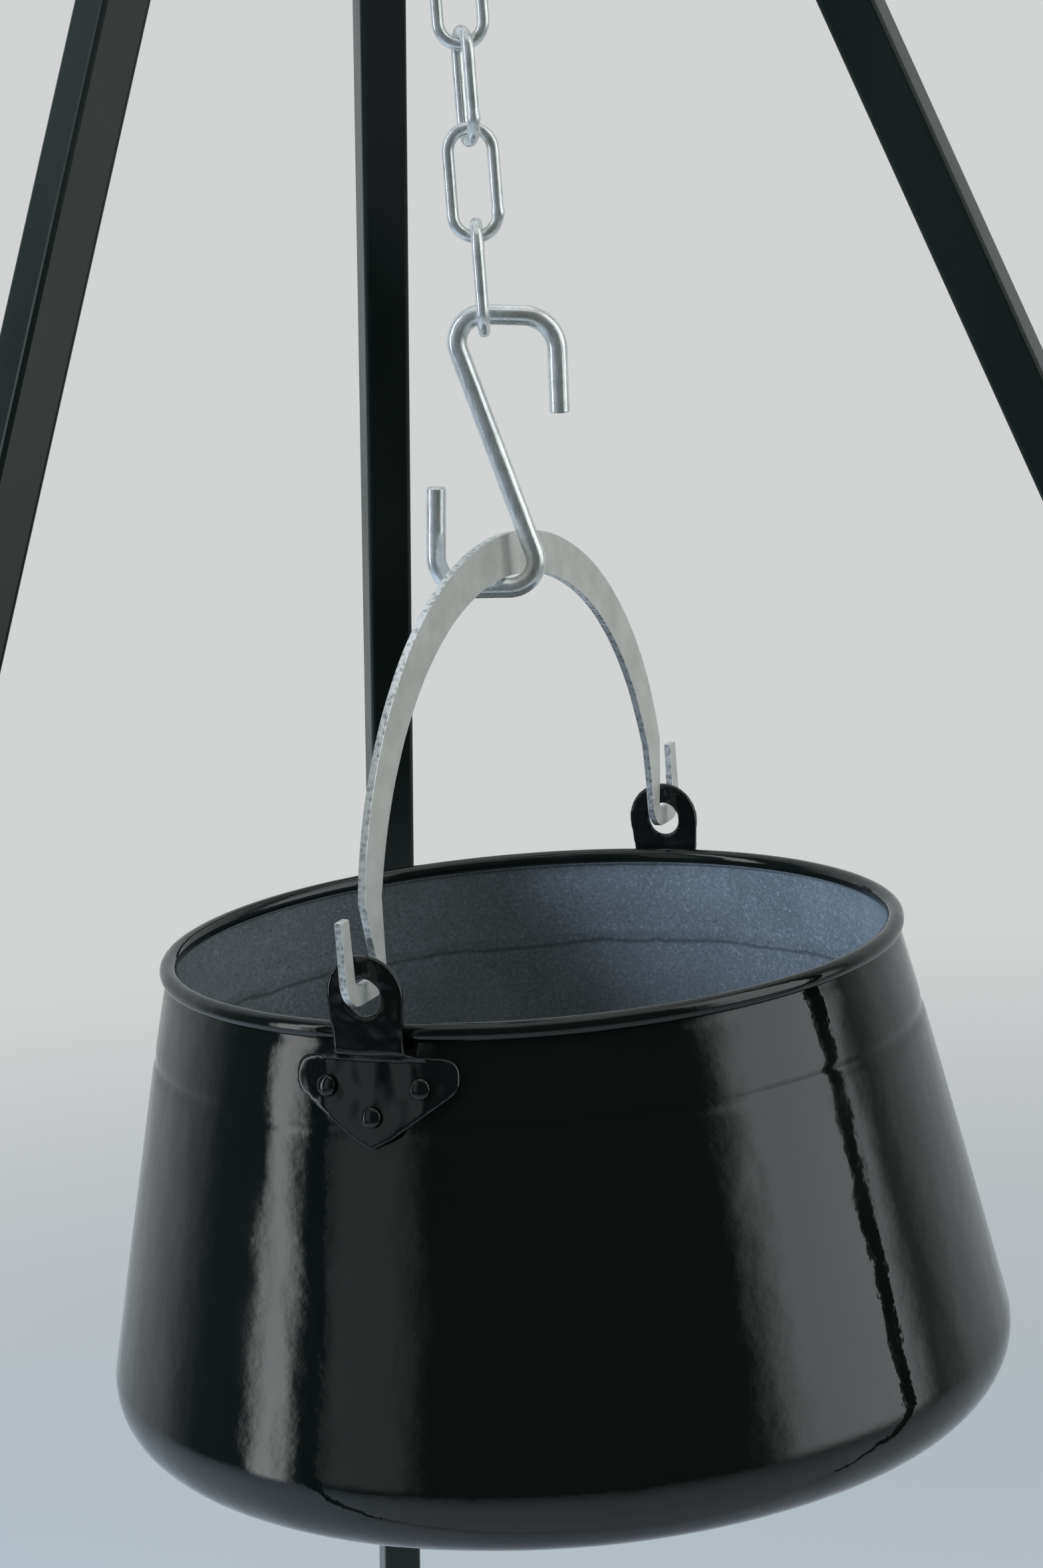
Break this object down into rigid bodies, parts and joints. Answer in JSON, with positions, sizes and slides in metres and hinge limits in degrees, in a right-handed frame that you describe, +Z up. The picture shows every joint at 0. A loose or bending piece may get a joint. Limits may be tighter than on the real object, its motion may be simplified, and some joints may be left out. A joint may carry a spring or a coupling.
{
  "type": "campfire tripod with kettle",
  "caption": "Folding campfire tripod of square tube with a link chain, an S-hook and an enamelled kettle that hangs in a strip bail.",
  "frame": {"origin": "On the ground, under the middle of the bounding box.", "axes": "+Z is up, the back leg points to +Y and the two front legs spread to -X and +X."},
  "size_m": [0.9846, 0.8527, 1.3079],
  "materials": {
    "paint": "glossy black paint",
    "foot": "matte black cap",
    "zinc": "bright zinc plating",
    "galvanised": "matte galvanised strip",
    "enamel": "glossy black enamel outside, speckled grey-blue enamel inside"
  },
  "bodies": {
    "hub": {"hub_plate": "paint", "pivot_bolt_back": "zinc", "pivot_bolt_left": "zinc", "pivot_bolt_right": "zinc", "pivot_nut_back": "zinc", "pivot_nut_left": "zinc", "pivot_nut_right": "zinc", "pivot_washer_back_head": "zinc", "pivot_washer_back_nut": "zinc", "pivot_washer_left_head": "zinc", "pivot_washer_left_nut": "zinc", "pivot_washer_right_head": "zinc", "pivot_washer_right_nut": "zinc", "eye_bolt": "zinc", "eye_washer": "zinc", "eye_nut": "zinc"},
    "leg_back": {"leg_back": "paint", "foot_cap_back": "foot"},
    "leg_left": {"leg_left": "paint", "foot_cap_left": "foot"},
    "leg_right": {"leg_right": "paint", "foot_cap_right": "foot"},
    "link_01": {"chain_link_01": "zinc"},
    "link_02": {"chain_link_02": "zinc"},
    "link_03": {"chain_link_03": "zinc"},
    "link_04": {"chain_link_04": "zinc"},
    "link_05": {"chain_link_05": "zinc"},
    "link_06": {"chain_link_06": "zinc"},
    "link_07": {"chain_link_07": "zinc"},
    "link_08": {"chain_link_08": "zinc"},
    "link_09": {"chain_link_09": "zinc"},
    "link_10": {"chain_link_10": "zinc"},
    "link_11": {"chain_link_11": "zinc"},
    "hook": {"s_hook": "zinc"},
    "bail": {"bail": "galvanised"},
    "kettle": {"kettle": "enamel", "ear_near": "enamel", "ear_far": "enamel", "rivet_near_left": "enamel", "rivet_near_right": "enamel", "rivet_near_low": "enamel", "rivet_far_left": "enamel", "rivet_far_right": "enamel", "rivet_far_low": "enamel"}
  },
  "joints": [
    {"name": "leg_back_fold", "type": "hinge", "parent": "hub", "child": "leg_back", "pos_m": [0.00174, -0.09674, 1.277], "axis": [-0.9997, -0.0262, 0], "range_deg": [0, 5]},
    {"name": "leg_left_fold", "type": "hinge", "parent": "hub", "child": "leg_left", "pos_m": [-0.03317, -0.15415, 1.277], "axis": [0.5, -0.866, 0], "range_deg": [0, 5]},
    {"name": "leg_right_fold", "type": "hinge", "parent": "hub", "child": "leg_right", "pos_m": [0.03317, -0.15415, 1.277], "axis": [0.5, 0.866, 0], "range_deg": [0, 5]},
    {"name": "link_01_swing", "type": "hinge", "parent": "hub", "child": "link_01", "pos_m": [0.006, -0.136, 1.2604], "axis": [0.9826, -0.1857, 0], "range_deg": [-6.3, 6.3]},
    {"name": "link_02_swing", "type": "hinge", "parent": "link_01", "child": "link_02", "pos_m": [0.006, -0.136, 1.22425], "axis": [0.1857, 0.9826, 0], "range_deg": [-8.8, 8.8]},
    {"name": "link_03_swing", "type": "hinge", "parent": "link_02", "child": "link_03", "pos_m": [0.006, -0.136, 1.1875], "axis": [-0.9826, 0.1857, 0], "range_deg": [-9.3, 9.3]},
    {"name": "link_04_swing", "type": "hinge", "parent": "link_03", "child": "link_04", "pos_m": [0.006, -0.136, 1.15075], "axis": [-0.1857, -0.9826, 0], "range_deg": [-9.8, 9.8]},
    {"name": "link_05_swing", "type": "hinge", "parent": "link_04", "child": "link_05", "pos_m": [0.006, -0.136, 1.114], "axis": [0.9826, -0.1857, 0], "range_deg": [-7.7, 7.7]},
    {"name": "link_06_swing", "type": "hinge", "parent": "link_05", "child": "link_06", "pos_m": [0.006, -0.136, 1.07725], "axis": [0.1857, 0.9826, 0], "range_deg": [-10.9, 10.9]},
    {"name": "link_07_swing", "type": "hinge", "parent": "link_06", "child": "link_07", "pos_m": [0.006, -0.136, 1.0405], "axis": [-0.9826, 0.1857, 0], "range_deg": [-11.6, 11.6]},
    {"name": "link_08_swing", "type": "hinge", "parent": "link_07", "child": "link_08", "pos_m": [0.006, -0.136, 1.00375], "axis": [-0.1857, -0.9826, 0], "range_deg": [-12.4, 12.4]},
    {"name": "link_09_swing", "type": "hinge", "parent": "link_08", "child": "link_09", "pos_m": [0.006, -0.136, 0.967], "axis": [0.9826, -0.1857, 0], "range_deg": [-9.9, 9.9]},
    {"name": "link_10_swing", "type": "hinge", "parent": "link_09", "child": "link_10", "pos_m": [0.006, -0.136, 0.93025], "axis": [0.1857, 0.9826, 0], "range_deg": [-14.3, 14.3]},
    {"name": "link_11_swing", "type": "hinge", "parent": "link_10", "child": "link_11", "pos_m": [0.006, -0.136, 0.8935], "axis": [-0.9826, 0.1857, 0], "range_deg": [-15.5, 15.5]},
    {"name": "hook_swing", "type": "hinge", "parent": "link_11", "child": "hook", "pos_m": [0.006, -0.136, 0.85675], "axis": [-0.1857, -0.9826, 0], "range_deg": [-16.9, 16.9]},
    {"name": "bail_swing", "type": "hinge", "parent": "hook", "child": "bail", "pos_m": [0.006, -0.136, 0.75545], "axis": [0.9826, -0.1857, 0], "range_deg": [-16.5, 16.5]},
    {"name": "kettle_tip", "type": "hinge", "parent": "bail", "child": "kettle", "pos_m": [0.006, -0.136, 0.62875], "axis": [0.5563, 0.831, 0], "range_deg": [-45, 75]}
  ]
}
